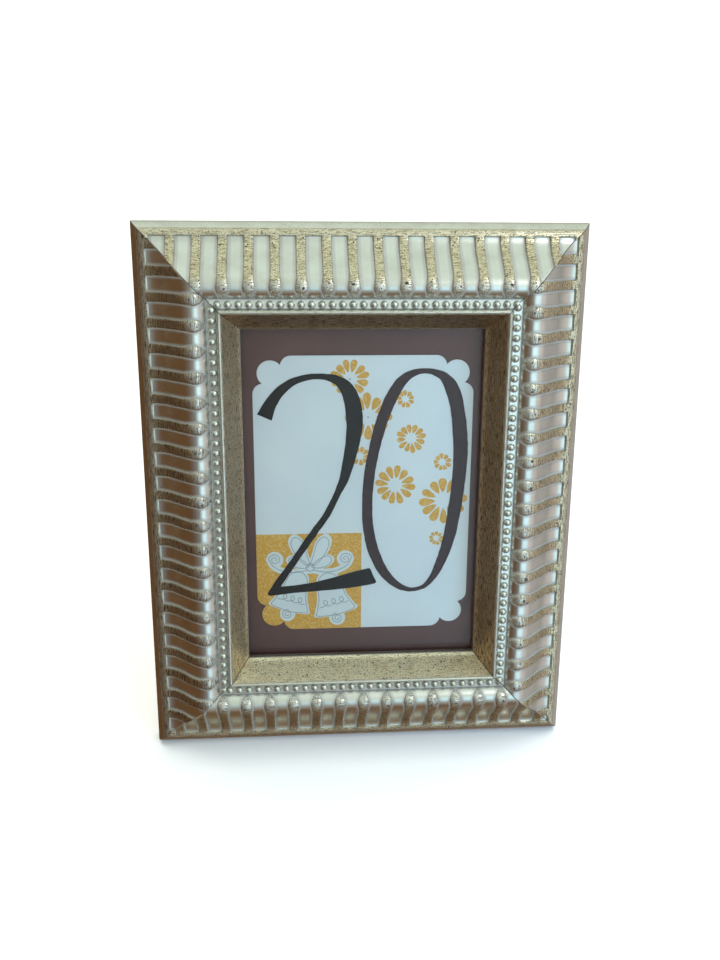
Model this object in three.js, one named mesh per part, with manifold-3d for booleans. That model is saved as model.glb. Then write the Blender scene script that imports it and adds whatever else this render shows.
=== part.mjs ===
// Table number holder: an ornate picture frame for a 5 x 7 inch card, leaning back on an easel leg.
// Millimetres, +Z up, the face looks towards -Y, the origin is under the middle of the object's box.
//
// Everything hangs in `leaningFrame`, whose own axes are x across the face, y up the face and
// z out of the face towards the viewer.  A rail is made along its own x, with y running inwards
// from its outer edge and z out of the face; the section of the moulding is a list of [y, z] points.

import * as THREE from 'three';
import { mergeVertices } from 'three/addons/utils/BufferGeometryUtils.js';
import Module from 'manifold-3d';

const wasm = await Module();
wasm.setup();

// ---- driving dimensions -------------------------------------------------------------------

const FRAME_WIDTH = 220;
const FRAME_HEIGHT = 273;
const LEAN_BACK = THREE.MathUtils.degToRad(15);
const GAP = 0.3; // between pieces that touch or are fitted into each other

// Moulding
const BACK_Z = -8; // the back of the rails; z = 0 is the outer arris of the face
const RABBET_INSET = 46;
const LIP_BACK_Z = 2;
const SIGHT_INSET = 50.2;
const SIGHT_Z = 4.5;
const REED_PITCH = 12.2;
const REED_HALF_WIDTH = 2.7;
const PANEL_DEPTH = 1.2; // how far the smooth panels lie below the reeds
const BEADS_PER_REED = 2.5;
const BEAD_RADIUS = 1.95;
const BEAD_LINE = [37.6, 17]; // [y, z] of the bead centres in the section
const RAILS = [
  // turns is quarter turns from the bottom rail; the two phases place the first reed and bead
  { name: 'rail_bottom', turns: 0, reedPhase: -0.1, beadPhase: 3.7 },
  { name: 'rail_right', turns: 1, reedPhase: -2.4, beadPhase: 4.8 },
  { name: 'rail_top', turns: 2, reedPhase: -6.3, beadPhase: -3.7 },
  { name: 'rail_left', turns: 3, reedPhase: -4.1, beadPhase: -3.6 },
];

// Corner nails, driven into the back across each mitre
const NAIL_INSETS = [15, 33];
const NAIL_LEG = 7;
const NAIL_THICKNESS = 0.6;
const NAIL_DEPTH = 7;

// The stack behind the rebate's lip: a 5 x 7 inch card and what holds it
const SHEET_WIDTH = 127;
const SHEET_HEIGHT = 178;
const SHEET_Y = -1.1; // the stack stands on the bottom rail's rabbet
const PANE_THICKNESS = 2;
const NUMBER_CARD = { width: 111, height: 146, thickness: 0.3, x: 0.6, y: -0.3 };
const MOUNT_THICKNESS = 0.4;
const FILLER_THICKNESS = 2;
const BOARD_THICKNESS = 3.5;

// Turn buttons on the backs of the two side rails
const BUTTON_INSET = 37;
const BUTTON_HEIGHTS = [-52, 52];
const BUTTON = { reach: 17, tail: 7, halfWidth: 4.2, thickness: 1, hole: 1.7 };
const SCREW = { head: 3, headThickness: 1.4, shank: 1.3, hole: 1.6, length: 11 };

// Easel leg and its hinge
const HINGE_Y = 46;
const LEG_OPEN = THREE.MathUtils.degToRad(27);
const LEG_THICKNESS = 2.8;
const LEG_TOP = 3;
const LEG_HALF_WIDTHS = [15, 31];
const KNUCKLE_RADIUS = 2;
const PIN_RADIUS = 1;
const PIN_HOLE_RADIUS = 1.15;
const LEAF = { halfWidth: 13, length: 22, thickness: 0.7, notch: 2.5, corner: 4 };
const MIDDLE_KNUCKLE = 4.7; // half length of the leg leaf's knuckle
const RIVET = { x: 8, y: 13, shank: 1.2, hole: 1.5, head: 2.5, headThickness: 1, foot: 2.1, footBore: 2.5 };
const RIVET_FOOT_THICKNESS = 0.5;
const RIVET_FOOT_DEPTH = 1.1;

// Ribbon that stops the leg
const RIBBON = { drop: 118, tab: 8, halfWidth: 5, thickness: 0.4 };
const STAPLE = { halfCrown: 6.2, wire: 0.6, depth: 2 };

// ---- places that follow from them ---------------------------------------------------------

const LIP_THICKNESS = SIGHT_Z - LIP_BACK_Z;
const PANE_FRONT = LIP_BACK_Z - GAP;
const CARD_FRONT = PANE_FRONT - PANE_THICKNESS - GAP;
const MOUNT_FRONT = CARD_FRONT - NUMBER_CARD.thickness - GAP;
const FILLER_FRONT = MOUNT_FRONT - MOUNT_THICKNESS - GAP;
const BOARD_FRONT = FILLER_FRONT - FILLER_THICKNESS - GAP;
const BOARD_BACK = BOARD_FRONT - BOARD_THICKNESS;
const LEAF_FRONT = BOARD_BACK - GAP;
const PIN_Z = LEAF_FRONT - KNUCKLE_RADIUS;
const LEG_BACK = -KNUCKLE_RADIUS + LEAF.thickness + GAP; // in the leg's own axes, from the pin
const LEG_FRONT = LEG_BACK + LEG_THICKNESS;
const LEG_TILT = LEG_OPEN - LEAN_BACK; // the open leg's angle from upright
const PIN_HEIGHT =
  (HINGE_Y + FRAME_HEIGHT / 2) * Math.cos(LEAN_BACK) + (PIN_Z - BACK_Z) * Math.sin(LEAN_BACK);

// The moulding's section, from the outer wall over the reeded ogee and the bead ledge to the lip
const OUTER_BAND = [[0, BACK_Z], [0, 0], [2.1, 3.3], [6, 5.6]];
const OGEE = [[9.2, 6.3], [13, 8.7], [19.8, 16], [23.4, 19.7], [28.5, 21.5], [32, 20.6]];
const LEDGE = [[34.9, 16.6], [39.9, 17.2], [40.6, 18.9], [41.9, 18.7]];
const LIP = [
  [SIGHT_INSET, SIGHT_Z],
  [SIGHT_INSET, SIGHT_Z - LIP_THICKNESS],
  [RABBET_INSET, LIP_BACK_Z],
  [RABBET_INSET, BACK_Z],
];

// ---- materials ----------------------------------------------------------------------------

const leaf = new THREE.MeshStandardMaterial({ color: 0xb9b093, roughness: 0.38, metalness: 0.75 });
const glass = new THREE.MeshStandardMaterial({
  color: 0xe8f0ee, roughness: 0.05, metalness: 0, transparent: true, opacity: 0.3,
});
const whitePaper = new THREE.MeshStandardMaterial({ color: 0xf1efe9, roughness: 0.8, metalness: 0 });
const plumCard = new THREE.MeshStandardMaterial({ color: 0x4a2f2e, roughness: 0.85, metalness: 0 });
const greyBoard = new THREE.MeshStandardMaterial({ color: 0x9a8f7d, roughness: 0.9, metalness: 0 });
const blackBoard = new THREE.MeshStandardMaterial({ color: 0x2a2624, roughness: 0.85, metalness: 0 });
const brass = new THREE.MeshStandardMaterial({ color: 0xb2904a, roughness: 0.35, metalness: 1 });
const steel = new THREE.MeshStandardMaterial({ color: 0x9a9c9e, roughness: 0.4, metalness: 1 });
const blackRibbon = new THREE.MeshStandardMaterial({ color: 0x1c1a1b, roughness: 0.7, metalness: 0 });

// ---- helpers ------------------------------------------------------------------------------

function solidOf(geometry) {
  const bare = geometry.clone();
  bare.deleteAttribute('normal');
  bare.deleteAttribute('uv');
  const merged = mergeVertices(bare, 1e-4);
  return new wasm.Manifold(new wasm.Mesh({
    numProp: 3,
    vertProperties: Float32Array.from(merged.attributes.position.array),
    triVerts: Uint32Array.from(merged.index.array),
  }));
}

function geometryOf(solid) {
  const mesh = solid.getMesh();
  const geometry = new THREE.BufferGeometry();
  geometry.setAttribute('position', new THREE.BufferAttribute(Float32Array.from(mesh.vertProperties), 3));
  geometry.setIndex(new THREE.BufferAttribute(Uint32Array.from(mesh.triVerts), 1));
  geometry.computeVertexNormals();
  return geometry;
}

function shapeOf(points) {
  return new THREE.Shape(points.map(([x, y]) => new THREE.Vector2(x, y)));
}

/** A flat outline in x and y, made solid from z = low to z = high. */
function plate(shape, low, high, curveSegments = 6) {
  const geometry = new THREE.ExtrudeGeometry(shape, {
    depth: high - low, bevelEnabled: false, curveSegments,
  });
  return geometry.translate(0, 0, low);
}

/** A section in y and z, made solid along x over the given length, half of it each way. */
function bar(section, length) {
  const geometry = plate(shapeOf(section), -length / 2, length / 2);
  return geometry.applyMatrix4(new THREE.Matrix4().makeBasis(
    new THREE.Vector3(0, 1, 0),
    new THREE.Vector3(0, 0, 1),
    new THREE.Vector3(1, 0, 0),
  ));
}

function block(x, y, low, high) {
  const [x0, x1] = x;
  const [y0, y1] = y;
  return plate(shapeOf([[x0, y0], [x1, y0], [x1, y1], [x0, y1]]), low, high);
}

/** A turned piece whose [radius, z] profile runs from axis to axis along z. */
function turned(profile, sides = 16) {
  const points = profile.map(([radius, z]) => new THREE.Vector2(radius, z));
  return new THREE.LatheGeometry(points, sides).rotateX(Math.PI / 2);
}

function cylinderAlongZ(radius, low, high, sides = 16) {
  return turned([[0, low], [radius, low], [radius, high], [0, high]], sides);
}

function minus(geometry, cutters) {
  const solid = cutters.reduce((rest, cutter) => rest.subtract(solidOf(cutter)), solidOf(geometry));
  return geometryOf(solid);
}

function named(name, geometry, material, parent) {
  const mesh = new THREE.Mesh(geometry, material);
  mesh.name = name;
  parent.add(mesh);
  return mesh;
}

/** Each point of an open section moved to its right by `depth`, square to its neighbours. */
function sunk(points, depth) {
  return points.map(([y, z], i) => {
    const [y0, z0] = points[Math.max(i - 1, 0)];
    const [y1, z1] = points[Math.min(i + 1, points.length - 1)];
    const length = Math.hypot(y1 - y0, z1 - z0);
    return [y + (depth * (z1 - z0)) / length, z - (depth * (y1 - y0)) / length];
  });
}

/** Places from -limit to limit that are `pitch` apart and pass through `phase`. */
function places(phase, pitch, limit) {
  const first = Math.ceil((-limit - phase) / pitch);
  const last = Math.floor((limit - phase) / pitch);
  return Array.from({ length: last - first + 1 }, (_, i) => phase + (first + i) * pitch);
}

// ---- moulding -----------------------------------------------------------------------------

function reedOutline(x) {
  const half = REED_HALF_WIDTH;
  return shapeOf([
    [x - half, 4], [x + half, 4], [x + half, 29.5], [x + 0.8 * half, 31.6],
    [x, 33.4], [x - 0.8 * half, 31.6], [x - half, 29.5],
  ]);
}

/** What is taken off the ogee between the reeds: a channel along the rail, less the reeds. */
function panelCutter(length, reedPhase) {
  const floor = sunk([[9.8, 6.5], ...OGEE.slice(1)], PANEL_DEPTH);
  const channel = [[8.2, 7.2], ...floor, [35, 17.6], [35, 26], [8.2, 26]];
  const reeds = places(reedPhase, REED_PITCH, length / 2).map((x) => plate(reedOutline(x), 0, 30));
  return reeds.reduce((rest, reed) => rest.subtract(solidOf(reed)), solidOf(bar(channel, length + 2)));
}

function nailOutline(length, inset, end, grow) {
  const x = end * (length / 2 - inset);
  const far = NAIL_LEG + grow;
  const near = NAIL_THICKNESS + grow;
  const corner = [[-grow, -grow], [far, -grow], [far, near], [near, near], [near, far], [-grow, far]];
  return shapeOf(corner.map(([out, across]) => [x + end * out, inset - across]));
}

function nailSlots(length) {
  return NAIL_INSETS.flatMap((inset) => [-1, 1].map(
    (end) => plate(nailOutline(length, inset, end, GAP), BACK_Z - 1, BACK_Z + NAIL_DEPTH + 2 * GAP),
  ));
}

function screwHoles() {
  return BUTTON_HEIGHTS.map((x) => cylinderAlongZ(SCREW.hole, BACK_Z - 1, BACK_Z + SCREW.length)
    .translate(x, BUTTON_INSET, 0));
}

function railGeometry({ turns, reedPhase, beadPhase }) {
  const length = turns % 2 ? FRAME_HEIGHT : FRAME_WIDTH;
  const half = length / 2 - GAP * Math.SQRT1_2;
  const deep = SIGHT_INSET + 10;
  const mitred = shapeOf([[-half, 0], [half, 0], [half - deep, deep], [deep - half, deep]]);
  let rail = solidOf(bar([...OUTER_BAND, ...OGEE, ...LEDGE, ...LIP], length));
  rail = rail.subtract(panelCutter(length, reedPhase));
  for (const x of places(beadPhase, REED_PITCH / BEADS_PER_REED, length / 2 - BEAD_LINE[0])) {
    const bead = new THREE.SphereGeometry(BEAD_RADIUS, 6, 4).rotateX(Math.PI / 2);
    rail = rail.add(solidOf(bead.translate(x, ...BEAD_LINE)));
  }
  rail = rail.intersect(solidOf(plate(mitred, BACK_Z - 1, 30)));
  const cutters = [...nailSlots(length), ...(turns % 2 ? screwHoles() : [])];
  return geometryOf(cutters.reduce((rest, cutter) => rest.subtract(solidOf(cutter)), rail));
}

/** Turns and moves what was made along a rail's own axes to that rail's side of the face. */
function placeOnSide(object, turns) {
  const out = (turns % 2 ? FRAME_WIDTH : FRAME_HEIGHT) / 2;
  object.rotation.z = (turns * Math.PI) / 2;
  object.position.set(out * Math.sin(object.rotation.z), -out * Math.cos(object.rotation.z), 0);
}

function addMoulding(frame) {
  for (const rail of RAILS) {
    placeOnSide(named(rail.name, railGeometry(rail), leaf, frame), rail.turns);
  }
}

function addCornerNails(frame) {
  const corners = ['bottom_right', 'top_right', 'top_left', 'bottom_left'];
  corners.forEach((corner, turns) => {
    const length = turns % 2 ? FRAME_HEIGHT : FRAME_WIDTH;
    NAIL_INSETS.forEach((inset, i) => {
      const back = BACK_Z + GAP;
      const nail = plate(nailOutline(length, inset, 1, 0), back, back + NAIL_DEPTH);
      placeOnSide(named(`corner_nail_${corner}_${i + 1}`, nail, steel, frame), turns);
    });
  });
}

// ---- glass, card and backing --------------------------------------------------------------

function sheet(front, thickness) {
  const [x, y] = [SHEET_WIDTH / 2, SHEET_HEIGHT / 2];
  return block([-x, x], [SHEET_Y - y, SHEET_Y + y], front - thickness, front);
}

/** A card outline whose corners are round lobes between two round shoulders. */
function scallopedOutline(width, height) {
  const shoulder = { along: 19.2, radius: 5.4 };
  const lobe = { inset: 8.8, radius: 6.5 };
  const notch = Math.atan2(5, -4.2); // from the lobe's centre to the notch beside it
  const shoulderEnd = THREE.MathUtils.degToRad(264);
  const shape = new THREE.Shape();
  const corners = [[-1, -1], [1, -1], [1, 1], [-1, 1]];
  corners.forEach(([sideX, sideY], turns) => {
    const turn = (turns * Math.PI) / 2;
    const at = (x, y) => [
      (sideX * width) / 2 + x * Math.cos(turn) - y * Math.sin(turn),
      (sideY * height) / 2 + x * Math.sin(turn) + y * Math.cos(turn),
    ];
    const arc = (x, y, radius, from, to) => shape.absarc(...at(x, y), radius, from + turn, to + turn, false);
    arc(shoulder.radius, shoulder.along, shoulder.radius, Math.PI, shoulderEnd);
    arc(lobe.inset, lobe.inset, lobe.radius, notch, 2.5 * Math.PI - notch);
    arc(shoulder.along, shoulder.radius, shoulder.radius, 2.5 * Math.PI - shoulderEnd, 1.5 * Math.PI);
  });
  return shape;
}

function rivetHoles(side) {
  const hole = () => cylinderAlongZ(RIVET.hole, -30, 30, 12);
  return [-RIVET.x, RIVET.x].map((x) => hole().translate(x, side * RIVET.y, 0));
}

/** Two blind slots for a staple's legs, from `face` into the board in the direction `into`. */
function stapleSlots(y, face, into) {
  const reach = into * (STAPLE.depth + GAP);
  const half = STAPLE.wire / 2 + GAP;
  return [-STAPLE.halfCrown, STAPLE.halfCrown].map((x) => block(
    [x - half, x + half], [y - half, y + half],
    Math.min(face - into, face + reach), Math.max(face - into, face + reach),
  ));
}

function boardGeometry() {
  const bores = [-RIVET.x, RIVET.x].map(
    (x) => cylinderAlongZ(RIVET.footBore, BOARD_FRONT - RIVET_FOOT_DEPTH, BOARD_FRONT + 1, 12)
      .translate(x, HINGE_Y + RIVET.y, 0),
  );
  const holes = rivetHoles(1).map((hole) => hole.translate(0, HINGE_Y, 0));
  const slots = stapleSlots(HINGE_Y - RIBBON.drop - RIBBON.tab / 2, BOARD_BACK, 1);
  return minus(sheet(BOARD_FRONT, BOARD_THICKNESS), [...bores, ...holes, ...slots]);
}

function addStack(frame) {
  named('glass_pane', sheet(PANE_FRONT, PANE_THICKNESS), glass, frame);
  const outline = scallopedOutline(NUMBER_CARD.width, NUMBER_CARD.height);
  const card = plate(outline, CARD_FRONT - NUMBER_CARD.thickness, CARD_FRONT, 3);
  named('number_card', card, whitePaper, frame).position.set(NUMBER_CARD.x, NUMBER_CARD.y, 0);
  named('card_mount', sheet(MOUNT_FRONT, MOUNT_THICKNESS), plumCard, frame);
  named('filler_card', sheet(FILLER_FRONT, FILLER_THICKNESS), greyBoard, frame);
  named('backing_board', boardGeometry(), blackBoard, frame);
}

// ---- turn buttons -------------------------------------------------------------------------

function buttonGeometry() {
  const { reach, tail, halfWidth, thickness, hole } = BUTTON;
  const outline = new THREE.Shape();
  outline.absarc(reach - halfWidth, 0, halfWidth, -Math.PI / 2, Math.PI / 2, false);
  outline.absarc(halfWidth - tail, 0, halfWidth, Math.PI / 2, 1.5 * Math.PI, false);
  outline.holes.push(new THREE.Path().absarc(0, 0, hole, 0, 2 * Math.PI, true));
  return plate(outline, -thickness, 0, 4);
}

function screwGeometry() {
  const { head, headThickness, shank, length } = SCREW;
  const top = -headThickness;
  const depth = length - BUTTON.thickness - 2 * GAP;
  return turned([
    [0, top], [0.6 * head, top], [head, 0.6 * top], [head, 0],
    [shank, 0], [shank, depth], [0, depth],
  ], 12);
}

function addTurnButtons(frame) {
  for (const side of [-1, 1]) {
    BUTTON_HEIGHTS.forEach((y, i) => {
      const place = `${side < 0 ? 'left' : 'right'}_${i ? 'upper' : 'lower'}`;
      const x = side * (FRAME_WIDTH / 2 - BUTTON_INSET);
      const button = named(`turn_button_${place}`, buttonGeometry(), brass, frame);
      button.position.set(x, y, BACK_Z - GAP);
      button.rotation.z = side < 0 ? 0 : Math.PI;
      const screw = named(`turn_button_screw_${place}`, screwGeometry(), brass, frame);
      screw.position.set(x, y, BACK_Z - BUTTON.thickness - 2 * GAP);
    });
  }
}

// ---- hinge --------------------------------------------------------------------------------

/** A hinge leaf about the pin's axis x.  `side` is 1 for a leaf that runs up, -1 for down. */
function leafGeometry(side, plateFront, knuckles) {
  const { halfWidth, length, thickness, notch, corner } = LEAF;
  const outline = new THREE.Shape();
  outline.moveTo(-halfWidth, notch);
  outline.lineTo(halfWidth, notch);
  outline.absarc(halfWidth - corner, length - corner, corner, 0, Math.PI / 2, false);
  outline.absarc(corner - halfWidth, length - corner, corner, Math.PI / 2, Math.PI, false);
  const turn = side > 0 ? 0 : Math.PI;
  const whole = plate(outline, plateFront - thickness, plateFront, 2).rotateZ(turn);
  let solid = solidOf(whole);
  for (const [x0, x1] of knuckles) {
    const barrel = cylinderAlongZ(KNUCKLE_RADIUS, x0, x1, 16).rotateY(Math.PI / 2);
    const reach = side * (notch + 0.5);
    const tab = block([x0, x1], [Math.min(0, reach), Math.max(0, reach)], plateFront - thickness, plateFront);
    solid = solid.add(solidOf(barrel)).add(solidOf(tab));
  }
  const bore = cylinderAlongZ(PIN_HOLE_RADIUS, -20, 20, 16).rotateY(Math.PI / 2);
  return minus(geometryOf(solid), [bore, ...rivetHoles(side)]);
}

function pinGeometry() {
  const end = LEAF.halfWidth + GAP;
  const head = 0.8;
  const profile = [
    [0, -end - head], [0.6 * KNUCKLE_RADIUS, -end - head], [0.9 * KNUCKLE_RADIUS, -end], [PIN_RADIUS, -end],
    [PIN_RADIUS, end], [0.9 * KNUCKLE_RADIUS, end], [0.6 * KNUCKLE_RADIUS, end + head], [0, end + head],
  ];
  return turned(profile, 12).rotateY(Math.PI / 2);
}

/** A rivet along z: a flat foot let into the board and a domed head over the leaf, lower in z. */
function rivetGeometry(boardFront, leafBack) {
  const { shank, head, headThickness, foot } = RIVET;
  const footBack = boardFront - RIVET_FOOT_DEPTH + GAP;
  const headFront = leafBack - GAP;
  return turned([
    [0, headFront - headThickness], [0.55 * head, headFront - headThickness],
    [head, headFront - 0.4 * headThickness], [head, headFront],
    [shank, headFront], [shank, footBack], [foot, footBack],
    [foot, footBack + RIVET_FOOT_THICKNESS], [0, footBack + RIVET_FOOT_THICKNESS],
  ], 12);
}

function addRivets(prefix, parent, y, boardFront, leafBack) {
  [-RIVET.x, RIVET.x].forEach((x, i) => {
    const geometry = rivetGeometry(boardFront, leafBack);
    const rivet = named(`${prefix}_${i ? 'right' : 'left'}`, geometry, brass, parent);
    rivet.position.set(x, y, 0);
  });
}

// ---- easel leg and ribbon -----------------------------------------------------------------

function footAt(z) {
  return (z * Math.sin(LEG_TILT) - PIN_HEIGHT) / Math.cos(LEG_TILT);
}

/** The leg in its own axes: the pin is the origin, -y runs down the leg and z faces the board. */
function legGeometry() {
  const [top, foot] = LEG_HALF_WIDTHS;
  const bottom = footAt(0) - 5;
  const outline = shapeOf([[-top, -LEG_TOP], [-foot, bottom], [foot, bottom], [top, -LEG_TOP]]);
  const section = [
    [-LEG_TOP, LEG_BACK], [-LEG_TOP, LEG_FRONT], [footAt(LEG_FRONT), LEG_FRONT], [footAt(LEG_BACK), LEG_BACK],
  ];
  const whole = solidOf(plate(outline, -10, 10)).intersect(solidOf(bar(section, 100)));
  const bore = () => cylinderAlongZ(RIVET.footBore, LEG_FRONT - RIVET_FOOT_DEPTH, LEG_FRONT + 1, 12);
  const bores = [-RIVET.x, RIVET.x].map((x) => bore().translate(x, -RIVET.y, 0));
  const slots = stapleSlots(-RIBBON.drop - RIBBON.tab / 2, LEG_FRONT, -1);
  return minus(geometryOf(whole), [...bores, ...rivetHoles(-1), ...slots]);
}

/** A staple across x: its crown lies outside `face` by the ribbon, its legs go the way `into`. */
function stapleGeometry(y, face, into) {
  const { halfCrown, wire, depth } = STAPLE;
  const crown = face - into * (2 * GAP + RIBBON.thickness);
  const [out, inner] = [halfCrown + wire / 2, halfCrown - wire / 2];
  const [top, tip] = [crown - into * wire, face + into * depth];
  const section = shapeOf([
    [-out, top], [out, top], [out, tip], [inner, tip],
    [inner, crown], [-inner, crown], [-inner, tip], [-out, tip],
  ]);
  return plate(section, -wire / 2, wire / 2).rotateX(Math.PI / 2).translate(0, y, 0);
}

/** A thin strip of even thickness along an open line of points. */
function strip(points, thickness) {
  const directions = points.slice(1).map((point, i) => point.clone().sub(points[i]).normalize());
  const offset = (i, distance) => {
    const before = directions[Math.max(i - 1, 0)];
    const after = directions[Math.min(i, directions.length - 1)];
    const normal = new THREE.Vector2(-before.y - after.y, before.x + after.x).normalize();
    const stretch = 1 / Math.sqrt((1 + before.dot(after)) / 2);
    return points[i].clone().addScaledVector(normal, distance * stretch).toArray();
  };
  const left = points.map((_, i) => offset(i, thickness / 2));
  const right = points.map((_, i) => offset(i, -thickness / 2)).reverse();
  return [...left, ...right];
}

/** From the leg's own axes to the face's y and z. */
function fromLeg(y, z) {
  return new THREE.Vector2(
    HINGE_Y + y * Math.cos(LEG_OPEN) - z * Math.sin(LEG_OPEN),
    PIN_Z + y * Math.sin(LEG_OPEN) + z * Math.cos(LEG_OPEN),
  );
}

function ribbonGeometry() {
  const { drop, tab, halfWidth, thickness } = RIBBON;
  const off = GAP + thickness / 2;
  const line = [
    new THREE.Vector2(HINGE_Y - drop - tab, BOARD_BACK - off),
    new THREE.Vector2(HINGE_Y - drop, BOARD_BACK - off),
    fromLeg(-drop, LEG_FRONT + off),
    fromLeg(-drop - tab, LEG_FRONT + off),
  ];
  return bar(strip(line, thickness), 2 * halfWidth);
}

function addEasel(frame) {
  const sides = [[-LEAF.halfWidth, -MIDDLE_KNUCKLE - GAP], [MIDDLE_KNUCKLE + GAP, LEAF.halfWidth]];
  const board = leafGeometry(1, KNUCKLE_RADIUS, sides);
  named('hinge_leaf_board', board, brass, frame).position.set(0, HINGE_Y, PIN_Z);
  named('hinge_pin', pinGeometry(), steel, frame).position.set(0, HINGE_Y, PIN_Z);
  addRivets('rivet_board', frame, HINGE_Y + RIVET.y, BOARD_FRONT, LEAF_FRONT - LEAF.thickness);

  const leg = new THREE.Group();
  leg.position.set(0, HINGE_Y, PIN_Z);
  leg.rotation.x = LEG_OPEN;
  frame.add(leg);
  named('easel_leg', legGeometry(), blackBoard, leg);
  const middle = [[-MIDDLE_KNUCKLE, MIDDLE_KNUCKLE]];
  named('hinge_leaf_leg', leafGeometry(-1, LEAF.thickness - KNUCKLE_RADIUS, middle), brass, leg);
  addRivets('rivet_leg', leg, -RIVET.y, LEG_FRONT, -KNUCKLE_RADIUS);

  named('ribbon_stay', ribbonGeometry(), blackRibbon, frame);
  const down = RIBBON.drop + RIBBON.tab / 2;
  named('staple_board', stapleGeometry(HINGE_Y - down, BOARD_BACK, 1), steel, frame);
  named('staple_leg', stapleGeometry(-down, LEG_FRONT, -1), steel, leg);
}

// ---- assembly -----------------------------------------------------------------------------

const leaningFrame = new THREE.Group();
leaningFrame.rotation.x = Math.PI / 2 - LEAN_BACK;
addMoulding(leaningFrame);
addCornerNails(leaningFrame);
addStack(leaningFrame);
addTurnButtons(leaningFrame);
addEasel(leaningFrame);

const tableNumberHolder = new THREE.Group();
tableNumberHolder.add(leaningFrame);
const box = new THREE.Box3().setFromObject(tableNumberHolder, true);
const middle = box.getCenter(new THREE.Vector3());
leaningFrame.position.set(-middle.x, -middle.y, -box.min.z);

export default tableNumberHolder;
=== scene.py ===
"""Table number holder: a silver-leafed picture frame with a printed card, leaning back on an easel leg.

Pieces are drawn in millimetres in the face's own axes: x across the face, y up the face and z out of
it towards the viewer, with z = 0 at the outer arris.  A rail is drawn along its own x, with y running
inwards from its outer edge.  FACE takes those axes to the row frame, in metres.
"""

import math
import random
from contextlib import contextmanager

import bmesh
import bpy
import numpy as np
from mathutils import Matrix, Vector


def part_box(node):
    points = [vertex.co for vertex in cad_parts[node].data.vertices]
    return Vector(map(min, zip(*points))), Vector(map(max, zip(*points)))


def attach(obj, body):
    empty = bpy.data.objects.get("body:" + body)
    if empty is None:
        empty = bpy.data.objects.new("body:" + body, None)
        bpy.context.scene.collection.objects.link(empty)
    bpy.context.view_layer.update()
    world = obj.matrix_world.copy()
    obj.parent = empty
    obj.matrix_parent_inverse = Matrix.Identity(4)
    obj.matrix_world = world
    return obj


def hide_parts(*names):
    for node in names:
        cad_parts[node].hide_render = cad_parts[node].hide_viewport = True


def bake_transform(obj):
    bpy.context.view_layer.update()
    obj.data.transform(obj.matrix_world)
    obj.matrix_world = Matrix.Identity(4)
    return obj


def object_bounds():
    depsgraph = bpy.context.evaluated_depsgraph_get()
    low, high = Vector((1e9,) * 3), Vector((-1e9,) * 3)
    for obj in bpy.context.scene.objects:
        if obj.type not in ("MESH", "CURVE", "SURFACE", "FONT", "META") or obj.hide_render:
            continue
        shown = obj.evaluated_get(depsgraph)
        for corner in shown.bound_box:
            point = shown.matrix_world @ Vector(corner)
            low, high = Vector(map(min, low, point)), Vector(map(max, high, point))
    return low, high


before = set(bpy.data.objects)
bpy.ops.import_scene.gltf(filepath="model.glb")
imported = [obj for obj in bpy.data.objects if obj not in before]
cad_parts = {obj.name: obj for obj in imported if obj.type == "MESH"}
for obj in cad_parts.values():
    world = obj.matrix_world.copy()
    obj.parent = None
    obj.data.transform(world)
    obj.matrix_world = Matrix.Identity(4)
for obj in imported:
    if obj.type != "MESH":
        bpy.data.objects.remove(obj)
cad_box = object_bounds()

# ---- driving dimensions, in millimetres

MM = 0.001
LEAN_BACK = math.radians(15)
BACK_Z = -8  # the rails' flat back
RABBET_INSET = 46
LIP_BACK_Z = 2
MITRE_GAP = 0.15
PANE_MIDDLE = (0, -1.1, 0.7)
CARD_FRONT = -0.6
CARD_MIDDLE = (0.6, -0.3)
CARD_SIZE = (111, 146)
CARD_THICKNESS = 0.3
INK_START = 0.005  # above the card
INK_LAYER = 0.02
INK_STEP = 0.002  # between the shapes of one print
BOARD_FRONT = -4.2
BOARD_BACK = -7.7
GAP = 0.3  # between pieces that touch

# Reeds and panels.  Pairs are the arcs along the section over which something changes.
REED_PITCH = 12.2
REED_FOOT = 2.45  # half a reed's width at its foot
REED_SWELL = 0.9  # how much it widens towards the crest
SWELL_ARCS = (31, 40)
REED_WALL = 0.5
REED_TIP = 0.15  # half its width where the nose ends
PANEL_DEPTH = 1.25
PANEL_START = (9.2, 9.9)  # the panels sink
PANEL_END = (37.5, 46.2)  # and come up again
ROUNDING = (29, 38)  # a reed's flat top turns round
NOSE = (36.5, 45.6)  # from a reed's full width to its tip
GILT_FADES = (36, 42)
BEAD_PITCH = REED_PITCH / 2.5
BEAD_RADIUS = 1.95
BEAD_LINE = (37.6, 16.9)
DROP_RADIUS = 0.85
SILVER_ACROSS = 60  # beads and drops lie "across" past the section's arcs, where the leaf is plain silver

HINGE_Y = 46
PIN_Z = -10
KNUCKLE_RADIUS = 2
LEAF_THICKNESS = 0.7
LEG_OPEN = math.radians(27)
LEG_FRONT = 1.8
RIVET_PLACE = (8, 13)  # from the middle of the pin
BUTTON_PLACE = (73, 52)
BUTTON_THICKNESS = 1
RIBBON_DROP = 118
RIBBON_TAB = 8
RIBBON_WIDTH = 10
RIBBON_THICKNESS = 0.3

CAMERA_PLACE = (-37.1, 137.3, 462.9)
CAMERA_TURNS = (15.51, 4.28, 0.84)
CAMERA_LENS = 35.25
LIGHT_TARGET = (0, 0, 0.13)  # the middle of the frame, in the row frame's metres


def face_matrix():
    """From the face's own axes to the row frame, placed by the glass pane."""
    turn = Matrix.Rotation(math.pi / 2 - LEAN_BACK, 4, "X") @ Matrix.Scale(MM, 4)
    low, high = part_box("glass_pane")
    return Matrix.Translation((low + high) / 2 - turn @ Vector(PANE_MIDDLE)) @ turn


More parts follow.
